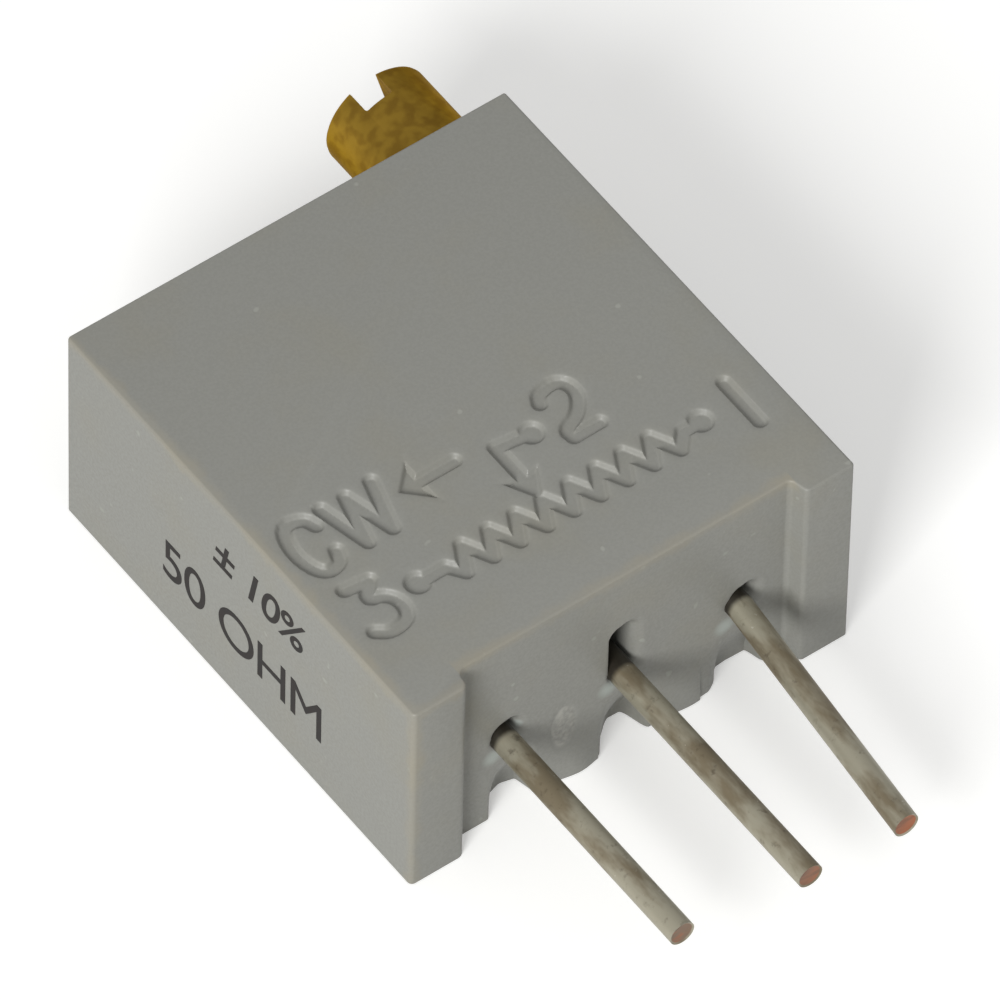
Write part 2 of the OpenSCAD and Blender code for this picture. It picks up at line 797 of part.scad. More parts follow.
module screw_retainer() {
    slot_r = retainer_slot_r;
    color([0.75, 0.75, 0.72])
        difference() {
            translate([worm_x - retainer_half_w, retainer_y, ledge_z + retainer_fit])
                cube([2 * retainer_half_w, retainer_t, retainer_top_z - ledge_z - retainer_fit]);
            along_y(worm_x, screw_z, slot_r, retainer_y - over, retainer_y + over);
            translate([worm_x - slot_r, retainer_y - over, screw_z])
                cube([2 * slot_r, 2 * over, 2 * over]);
        }
}

housing();
rear_cover();
epoxy_seal();
ceramic_element();
resistive_track();
collector_track();
end_lead_1();
end_lead_3();
pin_1();
pin_2();
pin_3();
solder_1();
solder_2();
solder_3();
wiper_gear();
wiper_contact();
adjustment_screw();
screw_o_ring();
screw_retainer();
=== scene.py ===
"""Square trimmer potentiometer on a pale floor: its visible pieces and all its finishes."""
import math

import bmesh
import bpy
from mathutils import Matrix, Vector

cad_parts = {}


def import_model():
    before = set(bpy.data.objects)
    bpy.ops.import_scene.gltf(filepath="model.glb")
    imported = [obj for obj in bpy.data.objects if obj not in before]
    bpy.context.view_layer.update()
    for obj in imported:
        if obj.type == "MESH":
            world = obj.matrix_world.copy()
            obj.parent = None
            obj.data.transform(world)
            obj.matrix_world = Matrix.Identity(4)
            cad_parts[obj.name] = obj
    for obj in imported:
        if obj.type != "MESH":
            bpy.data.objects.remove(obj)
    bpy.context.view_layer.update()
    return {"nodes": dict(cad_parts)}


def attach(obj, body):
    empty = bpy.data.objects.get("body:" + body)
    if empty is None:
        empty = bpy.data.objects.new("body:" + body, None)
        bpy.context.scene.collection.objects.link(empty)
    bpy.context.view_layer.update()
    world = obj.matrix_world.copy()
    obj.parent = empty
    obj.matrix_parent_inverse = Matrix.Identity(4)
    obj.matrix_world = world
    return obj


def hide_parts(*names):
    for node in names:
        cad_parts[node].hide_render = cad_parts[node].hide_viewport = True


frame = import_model()

MM = 0.001

# Sizes of the housing, in millimetres, as in the part's source
BODY_W = 9.53
BODY_H = 10.3
BODY_T = 4.83
HALF_W = BODY_W / 2
TOP_Y = BODY_H / 2
FOOT_Y = -BODY_H / 2
FLOOR_Y = -4.77
FOOT_LEFT_W = 1.2
FOOT_RIGHT_W = 1.08
INNER_X = 4.165
INNER_FLOOR_Y = -3.87
INNER_TOP_Y = 3.7
LEDGE_Z = 1.895
CHAMBER_TOP_Z = 4.18
GEAR_X = -0.5225
GEAR_Y = -0.085
CHAMBER_R = 3.6425

# Sizes of the pins, in millimetres
PIN_PITCH = 2.54
PIN_R = 0.255
PIN_Z = 2.17
PIN_END_Y = -2.97
PIN_LENGTHS = {1: 5.55, 2: 5.55, 3: 5.25}
PIN_BEND = 5
PIN_TURN = 23
BEND_Y = -4.89
HOLE_R = 0.28
SLOT_TOP_Z = 3.1
# The ink is a film that stands this far out of the left side
INK_T = 0.006

# Sizes of the screw, in millimetres
WORM_X = 3.5
SCREW_Z = 3.0
SHAFT_R = 0.8
BORE_R = 0.84
CORE_R = 0.44
TIP_R = 0.8
HEAD_R = 1.08
HEAD_Y = 5.2
SCREW_TOP_Y = 7.33
NECK_Y = 3.28
RING_Y = 4.425
CHANNEL_R = 0.88
CHANNEL_END_Y = -2.677
THREAD_PITCH = 0.7063
WORM_TURNS = 7
THREAD_STEPS = 48
SLOT_W = 0.59
SLOT_DEPTH = 0.55
SLOT_ANGLE = -15


# Mesh helpers


def new_piece(name, bm, smooth_angle=40):
    """A mesh object from a bmesh drawn in millimetres, with its faces pointing out."""
    bmesh.ops.recalc_face_normals(bm, faces=bm.faces)
    bmesh.ops.scale(bm, vec=(MM, MM, MM), verts=bm.verts)
    mesh = bpy.data.meshes.new(name)
    bm.to_mesh(mesh)
    bm.free()
    piece = bpy.data.objects.new(name, mesh)
    bpy.context.scene.collection.objects.link(piece)
    shade(piece, smooth_angle)
    return piece


def shade(piece, angle):
    """Smooth shading, with every edge sharper than the angle kept as a crease."""
    piece.data.shade_smooth()
    piece.data.set_sharp_from_angle(angle=math.radians(angle))


def box(low, high):
    """A block between two corners."""
    bm = bmesh.new()
    bmesh.ops.create_cube(bm, size=1)
    size = Vector(high) - Vector(low)
    bmesh.ops.scale(bm, vec=size, verts=bm.verts)
    bmesh.ops.translate(bm, vec=(Vector(high) + Vector(low)) / 2, verts=bm.verts)
    return bm


def round_edges(bm, pick, offset, segments):
    """Rounds the edges that a test picks."""
    edges = [e for e in bm.edges if pick(e)]
    bmesh.ops.bevel(
        bm,
        geom=edges,
        offset=offset,
        offset_type="OFFSET",
        segments=segments,
        profile=0.5,
        affect="EDGES",
        clamp_overlap=True,
        material=-1,
    )


def spun(profile, steps):
    """A body turned about the Y axis from a profile of (radius, y) points."""
    bm = bmesh.new()
    verts = [bm.verts.new((r, y, 0)) for r, y in profile]
    edges = [bm.edges.new(pair) for pair in zip(verts, verts[1:])]
    bmesh.ops.spin(
        bm,
        geom=verts + edges,
        axis=(0, 1, 0),
        cent=(0, 0, 0),
        angle=math.tau,
        steps=steps,
        use_merge=True,
        use_duplicate=False,
    )
    bmesh.ops.remove_doubles(bm, verts=bm.verts, dist=1e-5)
    bmesh.ops.recalc_face_normals(bm, faces=bm.faces)
    return bm


def along_y(x, z, r, y0, y1):
    """A plain round rod along Y."""
    bm = spun([(0, y0), (r, y0), (r, y1), (0, y1)], 64)
    bmesh.ops.translate(bm, vec=(x, 0, z), verts=bm.verts)
    return bm


def carved(piece, cutters):
    """The piece with each cutter taken out of it, one after another."""
    for cutter in cutters:
        tool = new_piece("cutter", cutter)
        step = piece.modifiers.new("carve", "BOOLEAN")
        step.operation = "DIFFERENCE"
        step.solver = "MANIFOLD"
        step.object = tool
        depsgraph = bpy.context.evaluated_depsgraph_get()
        result = bpy.data.meshes.new_from_object(piece.evaluated_get(depsgraph))
        piece.modifiers.remove(step)
        piece.data = result
        bpy.data.objects.remove(tool)
    return piece


# The housing


def rounded_outline(corners):
    """A flat outline whose corners are rounded, each by its own radius."""
    bm = bmesh.new()
    verts = [bm.verts.new((x, y, 0)) for x, y, r in corners]
    bm.faces.new(verts)
    for vert, (x, y, r) in zip(verts, corners):
        if r > 0:
            bmesh.ops.bevel(
                bm,
                geom=[vert],
                offset=r,
                offset_type="OFFSET",
                segments=6,
                profile=0.5,
                affect="VERTICES",
                material=-1,
            )
    return bm


def raised(bm, low, high):
    """A flat outline drawn up into a closed prism."""
    faces = list(bm.faces)
    bmesh.ops.translate(bm, vec=(0, 0, low), verts=bm.verts)
    grown = bmesh.ops.extrude_face_region(bm, geom=faces)
    moved = [g for g in grown["geom"] if isinstance(g, bmesh.types.BMVert)]
    bmesh.ops.translate(bm, vec=(0, 0, high - low), verts=moved)
    bmesh.ops.recalc_face_normals(bm, faces=bm.faces)
    return bm


def housing_block():
    """The outside of the cup: two feet, soft corners and a rounded front rim."""
    left = -HALF_W + FOOT_LEFT_W
    right = HALF_W - FOOT_RIGHT_W
    bm = rounded_outline(
        [
            (HALF_W, TOP_Y, 0.05),
            (-HALF_W + INK_T, TOP_Y, 0.09),
            (-HALF_W + INK_T, FOOT_Y, 0.1),
            (left, FOOT_Y, 0.17),
            (left, FLOOR_Y, 0.19),
            (right - 0.05, FLOOR_Y, 0.09),
            (right + 0.04, FOOT_Y, 0.08),
            (HALF_W, FOOT_Y, 0.07),
        ]
    )
    raised(bm, 0, BODY_T)
    top = BODY_T - 0.001
    round_edges(bm, lambda e: all(v.co.z > top for v in e.verts), 0.09, 4)
    return bm


# The pin face is pressed in for the channels, the lips of the holes and the gate mark, and
# swells out at its rear edge between the channels

# Depth of each channel at the rear edge, by the distance to the right of its pin
CHANNELS = {
    3: [(-0.24, 0), (-0.21, 0.07), (0, 0.34), (0.06, 0.44), (0.35, 0.53), (0.68, 0.45), (0.72, 0)],
    2: [(-0.38, 0), (-0.15, 0.3), (0.09, 0.505), (0.2, 0.58), (0.5, 0.57), (0.57, 0.3), (0.65, 0)],
    1: [(-0.7, 0), (-0.53, 0.01), (-0.34, 0.12), (-0.13, 0.38), (0.1, 0.4), (0.56, 0.385), (0.62, 0)],
}
# Between the channels the rear edge swells out a little: x of its middle, height and half width
SWELLS = [(-0.84, 0.1, 0.42), (1.62, 0.06, 0.4)]
# Bounds of what the pressing moves: the most that a face is pushed in, and out
PRESSED_IN = 0.62
SWOLLEN_OUT = 0.15
# The gate mark: its middle, and its half width and half height
GATE_X = -1.19
GATE_Z = 1.45
GATE_HALF = (0.28, 0.6)
TINY = 0.0007
# The holes lie a little to the right of their pins and above them
HOLE_SHIFT = {3: (0.06, 0.1), 2: (0.04, 0.02), 1: (0.13, 0.09)}


def between(table, u):
    """A value read from a table, straight between its rows."""
    for (u0, d0), (u1, d1) in zip(table, table[1:]):
        if u0 <= u < u1:
            return d0 + (d1 - d0) * (u - u0) / (u1 - u0)
    return 0


def eased(t):
    """A soft step from 0 to 1."""
    t = min(1, max(0, t))
    return t * t * (3 - 2 * t)


def hole_places(number):
    """Where a hole lies: x, and the z at which its round ends begin."""
    dx, dz = HOLE_SHIFT[number]
    low = PIN_Z + dz
    return (2 - number) * PIN_PITCH + dx, low, max(low, SLOT_TOP_Z if number == 2 else low)


def lip_depth(x, z, number):
    """The flared lip of a pin hole, wide on the right and below, tight on the left."""
    middle, low, high = hole_places(number)
    dx = x - middle
    dz = z - min(max(z, low), high)
    away = math.hypot(dx, dz)
    if away < HOLE_R:
        return 0.25
    reach = 0.035 + 0.2 * max(0, dx / away) + 0.16 * max(0, -dz / away)
    t = 1 - (away - HOLE_R) / reach
    return 0.9 * reach * (1 - math.sqrt(1 - t * t)) if t > 0 else 0


def face_dent(x, z):
    """How far the pin face lies in at a point, below 0 where it swells out."""
    deepest = 0
    for number in (1, 2, 3):
        u = x - (2 - number) * PIN_PITCH
        channel = sum(between(CHANNELS[number], u + k * 0.02) for k in (-2, -1, 0, 1, 2)) / 5
        deepest = max(deepest, channel * (1 - eased((z - 0.1) / 1.55)))
        deepest = max(deepest, lip_depth(x, z, number))
    if deepest == 0:
        for middle, height, half in SWELLS:
            swell = height * math.exp(-(((x - middle) / half) ** 2))
            deepest -= swell * (1 - eased(z / 1.3)) if swell > 0.002 else 0
    ring = math.hypot((x - GATE_X) / GATE_HALF[0], (z - GATE_Z) / GATE_HALF[1])
    return deepest + (0.012 * math.exp(-((ring - 0.9) / 0.16) ** 2) if ring < 1.3 else 0)


def press(bm, inward, level, across, up, low, high, cell, cuts, depth):
    """Pushes a relief into a flat face: cells it reaches are divided finely, the rest stay whole."""

    def flat(item):
        """Whether a face or a point lies in the plane that is pressed."""
        verts = item.verts if isinstance(item, bmesh.types.BMFace) else [item]
        return all(abs(v.co.dot(inward) - level) < 1e-4 for v in verts)

    def inside(face):
        """Whether a face lies within the pressed area."""
        c = face.calc_center_median()
        return low[0] < c.dot(across) < high[0] and low[1] < c.dot(up) < high[1]

    def reached(face):
        """Whether the relief reaches any part of a cell."""
        c = face.calc_center_median()
        steps = [cell * (i / 4 - 0.5) for i in range(5)]
        return any(abs(depth(c.dot(across) + a, c.dot(up) + b)) > 1e-4 for a in steps for b in steps)

    def slice_at(normal, distance, only_inside):
        """Cuts the flat faces along a line."""
        faces = [f for f in bm.faces if flat(f) and (inside(f) or not only_inside)]
        edges = list({e for f in faces for e in f.edges})
        verts = list({v for f in faces for v in f.verts})
        bmesh.ops.bisect_plane(
            bm,
            geom=verts + edges + faces,
            plane_co=normal * distance,
            plane_no=normal,
            dist=1e-6,
        )

    bmesh.ops.dissolve_faces(bm, faces=[f for f in bm.faces if flat(f)])
    for normal, a, b in ((across, low[0], high[0]), (up, low[1], high[1])):
        slice_at(normal, a, False)
        slice_at(normal, b, False)
    for normal, a, b in ((across, low[0], high[0]), (up, low[1], high[1])):
        for i in range(1, round((b - a) / cell)):
            slice_at(normal, a + i * cell, True)
    cells = [f for f in bm.faces if flat(f) and inside(f) and reached(f)]
    edges = list({e for f in cells for e in f.edges})
    bmesh.ops.subdivide_edges(bm, edges=edges, cuts=cuts, use_grid_fill=True)
    for vert in bm.verts:
        if flat(vert):
            vert.co += inward * depth(vert.co.dot(across), vert.co.dot(up))


def press_channels(bm):
    """Pushes the channels, the lips and the gate mark into the pin face."""
    x_axis, y_axis, z_axis = Vector((1, 0, 0)), Vector((0, 1, 0)), Vector((0, 0, 1))
    press(bm, y_axis, FLOOR_Y, x_axis, z_axis, (-3.25, 0), (3.25, 3.75), 0.25, 8, face_dent)
    first, last = FLOOR_Y - SWOLLEN_OUT, FLOOR_Y + PRESSED_IN
    pressed = [f for f in bm.faces if first < f.calc_center_median().y < last]
    bmesh.ops.triangulate(bm, faces=pressed)


def hole_cutter(x, z_low, z_high):
    """A round or long hole through the pin wall."""
    start = FLOOR_Y - 0.3
    end = INNER_FLOOR_Y + 0.1
    bm = spun([(0, start), (HOLE_R, start), (HOLE_R, end), (0, end)], 48)
    if z_high > z_low:
        top = [v for v in bm.verts if v.co.z > 1e-4]
        bmesh.ops.translate(bm, vec=(0, 0, z_high - z_low), verts=top)
    # A tiny turn and shift keep the cutter's points off the face's own grid lines
    turn = Matrix.Rotation(TINY, 3, "Y")
    bmesh.ops.rotate(bm, verts=bm.verts, cent=(0, 0, 0), matrix=turn)
    bmesh.ops.translate(bm, vec=(x + 0.0013, 0, z_low + TINY), verts=bm.verts)
    return bm


def cavity_cutters():
    """What is hollow inside: the rear cavity, rotor chamber, pin bay and screw spaces."""
    rear = raised(
        rounded_outline(
            [
                (-INNER_X, INNER_FLOOR_Y, 0.35),
                (INNER_X, INNER_FLOOR_Y, 0.35),
                (INNER_X, INNER_TOP_Y, 0.35),
                (-INNER_X, INNER_TOP_Y, 0.35),
            ]
        ),
        -0.5,
        LEDGE_Z,
    )
    chamber = bmesh.new()
    bmesh.ops.create_cone(
        chamber,
        cap_ends=True,
        segments=128,
        radius1=CHAMBER_R,
        radius2=CHAMBER_R,
        depth=CHAMBER_TOP_Z - LEDGE_Z + 0.3,
    )
    middle = (CHAMBER_TOP_Z + LEDGE_Z - 0.3) / 2
    bmesh.ops.translate(chamber, vec=(GEAR_X, GEAR_Y, middle), verts=chamber.verts)
    bay = box((-3.19, INNER_FLOOR_Y + 0.001, LEDGE_Z - 0.31), (3.19, GEAR_Y, 2.525))
    worm = along_y(WORM_X, SCREW_Z, CHANNEL_R, CHANNEL_END_Y, 3.35)
    worm_floor = box((WORM_X - 0.879, CHANNEL_END_Y + 0.001, LEDGE_Z - 0.32), (WORM_X + 0.879, 3.34, SCREW_Z))
    journal = along_y(WORM_X, SCREW_Z, 0.48, CHANNEL_END_Y - 0.7, CHANNEL_END_Y + 0.1)
    bore = along_y(WORM_X, SCREW_Z, BORE_R, 3.297, TOP_Y + 1)
    clip = box((WORM_X - 0.9, 3.32, LEDGE_Z - 0.33), (WORM_X + 0.9, 3.67, 3.92))
    return [rear, chamber, bay, worm, worm_floor, journal, bore, clip]


def changed(piece, work):
    """Lets a function work on a piece's mesh in millimetres."""
    bm = bmesh.new()
    bm.from_mesh(piece.data)
    bmesh.ops.scale(bm, vec=(1 / MM, 1 / MM, 1 / MM), verts=bm.verts)
    work(bm)
    bmesh.ops.scale(bm, vec=(MM, MM, MM), verts=bm.verts)
    bm.to_mesh(piece.data)
    bm.free()


def housing_piece():
    """The whole moulded housing."""
    piece = new_piece("housing_moulding", housing_block())
    carved(piece, cavity_cutters())
    changed(piece, press_channels)
    holes = []
    for number in (1, 2, 3):
        holes.append(hole_cutter(*hole_places(number)))
    carved(piece, holes)
    changed(piece, press_marks)
    shade(piece, 30)
    return piece


# The marks pressed into the front face

STROKE_HALF = 0.088
STROKE_WALL = 0.085
STROKE_DEPTH = 0.085
# A soft dip runs along each stroke outside its wall
DIP_DEPTH = 0.02
DIP_W = 0.22


def smoothed(points):
    """A bent line with its corners cut twice, so that it reads as a curve."""
    for _ in range(2):
        cut = [points[0]]
        for (x0, y0), (x1, y1) in zip(points, points[1:]):
            cut.append((0.75 * x0 + 0.25 * x1, 0.75 * y0 + 0.25 * y1))
            cut.append((0.25 * x0 + 0.75 * x1, 0.25 * y0 + 0.75 * y1))
        points = cut + [points[-1]]
    return points


def zigzag():
    """The resistor of the circuit sign, from its left dot to its right dot."""
    points = [(-2.95, -2.8), (-2.36, -2.8)]
    for i in range(9):
        points.append((-2.133 + 0.579 * i, -3.11))
        if i < 8:
            points.append((-1.843 + 0.579 * i, -2.56))
    points += [(2.78, -2.8), (3.15, -2.8)]
    return points


FIGURE_3 = [(-3.6, -2.26), (-3.92, -2.6), (-3.6, -2.66), (-3.42, -2.95)]
FIGURE_3 += [(-3.5, -3.32), (-3.95, -3.42), (-4.2, -3.24)]
FIGURE_2 = [(1.1, -0.86), (1.22, -0.64), (1.68, -0.6), (1.82, -1.0)]
FIGURE_2 += [(1.55, -1.4), (1.12, -1.58), (1.15, -1.8)]
LETTER_C = [(-3.66, -0.76), (-3.76, -0.5), (-4.18, -0.42), (-4.36, -1.08)]
LETTER_C += [(-4.18, -1.72), (-3.78, -1.68), (-3.68, -1.4)]
CURVES = [smoothed(FIGURE_3), smoothed(FIGURE_2), smoothed(LETTER_C)]
LINES = [
    # The flat top of the figure 3, the foot of the figure 2, and the figure 1
    [(-4.1, -2.2), (-3.6, -2.26)],
    [(1.15, -1.8), (1.72, -1.79)],
    [(4.0, -2.36), (4.0, -3.4)],
    # The letter W
    [(-3.38, -0.52), (-3.13, -1.58), (-2.87, -0.55), (-2.6, -1.58), (-2.3, -0.52)],
    # The tail of the arrow and the wiper of the circuit sign
    [(-1.7, -1.0), (-0.86, -1.0)],
    [(0.58, -1.28), (-0.1, -1.19), (-0.1, -2.0)],
    zigzag(),
]
# The heads of the two arrows, each counter-clockwise
HEADS = [
    [(-2.03, -1.01), (-1.6, -1.44), (-1.6, -0.58)],
    [(-0.1, -2.58), (0.24, -1.95), (-0.44, -1.95)],
]
DOTS = [(-2.96, -2.8), (3.16, -2.8), (0.6, -1.29)]
DOT_R = 0.19


def line_gap(x, y, a, b):
    """Distance from a point to the side of a straight stroke, below 0 inside it."""
    dx, dy = b[0] - a[0], b[1] - a[1]
    along = ((x - a[0]) * dx + (y - a[1]) * dy) / (dx * dx + dy * dy)
    along = min(1, max(0, along))
    return math.hypot(x - a[0] - along * dx, y - a[1] - along * dy) - STROKE_HALF


def head_gap(x, y, corners):
    """Distance from a point to the side of an arrow head, below 0 inside it."""
    gap = -9.0
    for (x0, y0), (x1, y1) in zip(corners, corners[1:] + corners[:1]):
        side = ((x - x0) * (y1 - y0) - (y - y0) * (x1 - x0)) / math.hypot(x1 - x0, y1 - y0)
        gap = max(gap, side)
    return gap + STROKE_WALL / 2


# The strokes near each cell of a coarse grid, so that a point is tried against few of them
STROKES = [pair for line in CURVES + LINES for pair in zip(line, line[1:])]
NEAR_CELL = 0.5
NEAR_REACH = 0.4
NEAR = {}
for stroke in STROKES:
    (x0, y0), (x1, y1) = stroke
    first = [math.floor((min(pair) - NEAR_REACH) / NEAR_CELL) for pair in ((x0, x1), (y0, y1))]
    last = [math.floor((max(pair) + NEAR_REACH) / NEAR_CELL) for pair in ((x0, x1), (y0, y1))]
    for i in range(first[0], last[0] + 1):
        for j in range(first[1], last[1] + 1):
            NEAR.setdefault((i, j), []).append(stroke)


def mark_depth(x, y):
    """How far the marks are pressed in at a point of the front face."""
    gap = 9.0
    for a, b in NEAR.get((math.floor(x / NEAR_CELL), math.floor(y / NEAR_CELL)), []):
        gap = min(gap, line_gap(x, y, a, b))
    for corners in HEADS:
        gap = min(gap, head_gap(x, y, corners))
    for dx, dy in DOTS:
        gap = min(gap, math.hypot(x - dx, y - dy) - DOT_R)
    dip = DIP_DEPTH * max(0, 1 - max(0, gap) / DIP_W) ** 2
    return dip + STROKE_DEPTH * (1 - eased(gap / STROKE_WALL))


def press_marks(bm):
    """Presses the marks into the front face."""
    x_axis, y_axis, inward = Vector((1, 0, 0)), Vector((0, 1, 0)), Vector((0, 0, -1))
    press(bm, inward, -BODY_T, x_axis, y_axis, (-4.5, -3.75), (4.5, -0.25), 0.25, 11, mark_depth)


housing = housing_piece()
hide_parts("housing")
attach(housing, "base")


# The adjustment screw


def screw_piece():
    """The turned screw with its worm thread and the slot across its head."""
    chamfer = 0.05
    core_end = -3.28
    ring_0 = RING_Y - 0.23
    ring_1 = RING_Y + 0.23
    profile = [
        (0, core_end),
        (CORE_R - chamfer, core_end),
        (CORE_R, core_end + chamfer),
        (CORE_R, NECK_Y - 0.2),
        (SHAFT_R - chamfer, NECK_Y - 0.2),
        (SHAFT_R, NECK_Y - 0.15),
        (SHAFT_R, NECK_Y),
        (0.5, NECK_Y),
        (0.5, INNER_TOP_Y),
        (SHAFT_R, INNER_TOP_Y),
        (SHAFT_R, ring_0),
        (0.48, ring_0),
        (0.48, ring_1),
        (SHAFT_R, ring_1),
        (SHAFT_R, HEAD_Y),
        (HEAD_R - 0.03, HEAD_Y),
        (HEAD_R, HEAD_Y + 0.03),
        (HEAD_R, SCREW_TOP_Y - 0.1),
        (HEAD_R - 0.02, SCREW_TOP_Y - 0.045),
        (HEAD_R - 0.06, SCREW_TOP_Y - 0.01),
        (HEAD_R - 0.11, SCREW_TOP_Y),
        (0, SCREW_TOP_Y),
    ]
    body = spun(profile, 128)
    bmesh.ops.translate(body, vec=(WORM_X, 0, SCREW_Z), verts=body.verts)
    piece = new_piece("screw_turning", body)

    slot = box((-SLOT_W / 2, -SLOT_DEPTH, -2), (SLOT_W / 2, 0.5, 2))

    def low_and_long(edge):
        """Picks the two long edges of the slot's floor."""
        a, b = (v.co for v in edge.verts)
        return max(a.y, b.y) < 0 and abs(a.z - b.z) > 1

    round_edges(slot, low_and_long, 0.05, 3)
    turn = Matrix.Rotation(math.radians(SLOT_ANGLE), 4, "Y")
    bmesh.ops.transform(slot, matrix=turn, verts=slot.verts)
    bmesh.ops.translate(slot, vec=(WORM_X, SCREW_TOP_Y, SCREW_Z), verts=slot.verts)
    carved(piece, [slot])
    shade(piece, 35)
    return piece


def thread_piece():
    """The worm thread, a trapezoid swept along a right-hand helix."""
    slope = math.tan(math.radians(20))
    root = CORE_R - 0.05
    tip_half = 0.1 - 0.15 * slope
    root_half = tip_half + (TIP_R - root) * slope
    bm = bmesh.new()
    corners = [(root, -root_half), (TIP_R, -tip_half), (TIP_R, tip_half), (root, root_half)]
    start = math.radians(-90 - 360 * WORM_TURNS / 2)
    verts = []
    for r, y in corners:
        place = (r * math.sin(start), y - WORM_TURNS * THREAD_PITCH / 2, r * math.cos(start))
        verts.append(bm.verts.new(place))
    face = bm.faces.new(verts)
    grown = bmesh.ops.spin(
        bm,
        geom=[face],
        axis=(0, 1, 0),
        cent=(0, 0, 0),
        dvec=(0, THREAD_PITCH / THREAD_STEPS, 0),
        angle=math.tau * WORM_TURNS,
        steps=THREAD_STEPS * WORM_TURNS,
        use_merge=False,
        use_duplicate=False,
    )
    last = [g for g in grown["geom_last"] if isinstance(g, bmesh.types.BMVert)]
    for group in (verts, last):
        for vert in group:
            if vert.is_valid and math.hypot(vert.co.x, vert.co.z) > root + 0.1:
                shrink = (root + 0.06) / math.hypot(vert.co.x, vert.co.z)
                vert.co.x *= shrink
                vert.co.z *= shrink
    bmesh.ops.translate(bm, vec=(WORM_X, GEAR_Y, SCREW_Z), verts=bm.verts)
    return new_piece("screw_thread", bm)


screw = screw_piece()
thread = thread_piece()
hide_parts("adjustment_screw")
for piece in (screw, thread):
    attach(piece, "screw")


# The pins


def pin_path(number):
    """Points along the middle of a pin, from its inner end to its tip."""
    x = (2 - number) * PIN_PITCH
    tip = FLOOR_Y - PIN_LENGTHS[number]
    points = []
    if number == 1:
        bend = math.radians(PIN_BEND)
        way = Vector((-math.sin(bend), -math.cos(bend), 0))
        way = Matrix.Rotation(math.radians(-PIN_TURN), 4, "Y") @ way
        for i in range(13):
            points.append(Vector((x, PIN_END_Y + (BEND_Y - PIN_END_Y) * i / 12, PIN_Z)))
        length = BEND_Y - tip
        for i in range(1, 47):
            points.append(Vector((x, BEND_Y, PIN_Z)) + way * (length * i / 46))
    else:
        for i in range(61):
            points.append(Vector((x, PIN_END_Y + (tip - PIN_END_Y) * i / 60, PIN_Z)))
    return points


def pin_piece(number):
    """A tinned wire whose cut end is bare copper inside a tinned rim."""
    points = pin_path(number)
    bm = bmesh.new()
    rim = bmesh.ops.create_circle(bm, cap_ends=False, radius=PIN_R, segments=36)["verts"]
    bmesh.ops.rotate(bm, verts=rim, cent=(0, 0, 0), matrix=Matrix.Rotation(math.radians(90), 3, "X"))
    bmesh.ops.translate(bm, vec=points[0], verts=rim)
    edges = list(bm.edges)
    bmesh.ops.contextual_create(bm, geom=edges)
    centre = points[0]
    for point in points[1:]:
        grown = bmesh.ops.extrude_edge_only(bm, edges=edges)
        verts = [g for g in grown["geom"] if isinstance(g, bmesh.types.BMVert)]
        edges = [g for g in grown["geom"] if isinstance(g, bmesh.types.BMEdge)]
        bmesh.ops.translate(bm, vec=point - centre, verts=verts)
        centre = point
    cap = bmesh.ops.contextual_create(bm, geom=edges)["faces"]
    bmesh.ops.inset_region(bm, faces=cap, thickness=0.035, depth=0.02)
    for face in cap:
        face.material_index = 1
    return new_piece(f"pin_{number}_wire", bm, 50)


pins = {}
for number in (1, 2, 3):
    pins[number] = pin_piece(number)
    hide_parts(f"pin_{number}")
    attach(pins[number], "base")


# The ink on the left side


def ink_piece(name, words, size, start_y, bottom_z, slant, bolder):
    """A line of print on the left side, read from the screw end to the feet."""
    curve = bpy.data.curves.new(name, "FONT")
    curve.body = words
    curve.size = size
    curve.shear = slant
    curve.offset = bolder
    curve.space_character = 0.93
    curve.extrude = 0.9 * INK_T
    holder = bpy.data.objects.new(name + "_words", curve)
    bpy.context.scene.collection.objects.link(holder)
    depsgraph = bpy.context.evaluated_depsgraph_get()
    drawn = bpy.data.meshes.new_from_object(holder.evaluated_get(depsgraph))
    bpy.data.objects.remove(holder)
    bm = bmesh.new()
    bm.from_mesh(drawn)
    bmesh.ops.remove_doubles(bm, verts=bm.verts, dist=1e-5)
    turn = Matrix(((0, 0, -1), (-1, 0, 0), (0, 1, 0))).to_4x4()
    bmesh.ops.transform(bm, matrix=turn, verts=bm.verts)
    bmesh.ops.translate(bm, vec=(-HALF_W + INK_T, start_y, bottom_z), verts=bm.verts)
    return new_piece(name, bm)


ink = [
    ink_piece("ink_upper", "\u00b1 10%", 1.12, 0.8, 3.12, 0.2, 0.012),
    ink_piece("ink_lower", "50 OHM", 1.42, 2.3, 1.24, 0, 0.0),
]
for piece in ink:
    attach(piece, "base")


# Finishes


def hex_colour(code):
    """An sRGB hex colour as linear red, green, blue and alpha."""
    parts = [int(code[i:i + 2], 16) / 255 for i in (0, 2, 4)]
    return [c / 12.92 if c <= 0.04045 else ((c + 0.055) / 1.055) ** 2.4 for c in parts] + [1]


def add(tree, kind, settings, inputs):
    """Adds a node with its settings, sets or links its inputs, and gives its first output."""
    node = tree.nodes.new(kind)
    for name, value in settings.items():
        setattr(node, name, value)
    live = [socket for socket in node.inputs if socket.enabled]
    for name, value in inputs.items():
        socket = live[name] if isinstance(name, int) else next(s for s in live if s.name == name)
        if isinstance(value, bpy.types.NodeSocket):
            tree.links.new(value, socket)
        else:
            socket.default_value = value
    return next((socket for socket in node.outputs if socket.enabled), None)


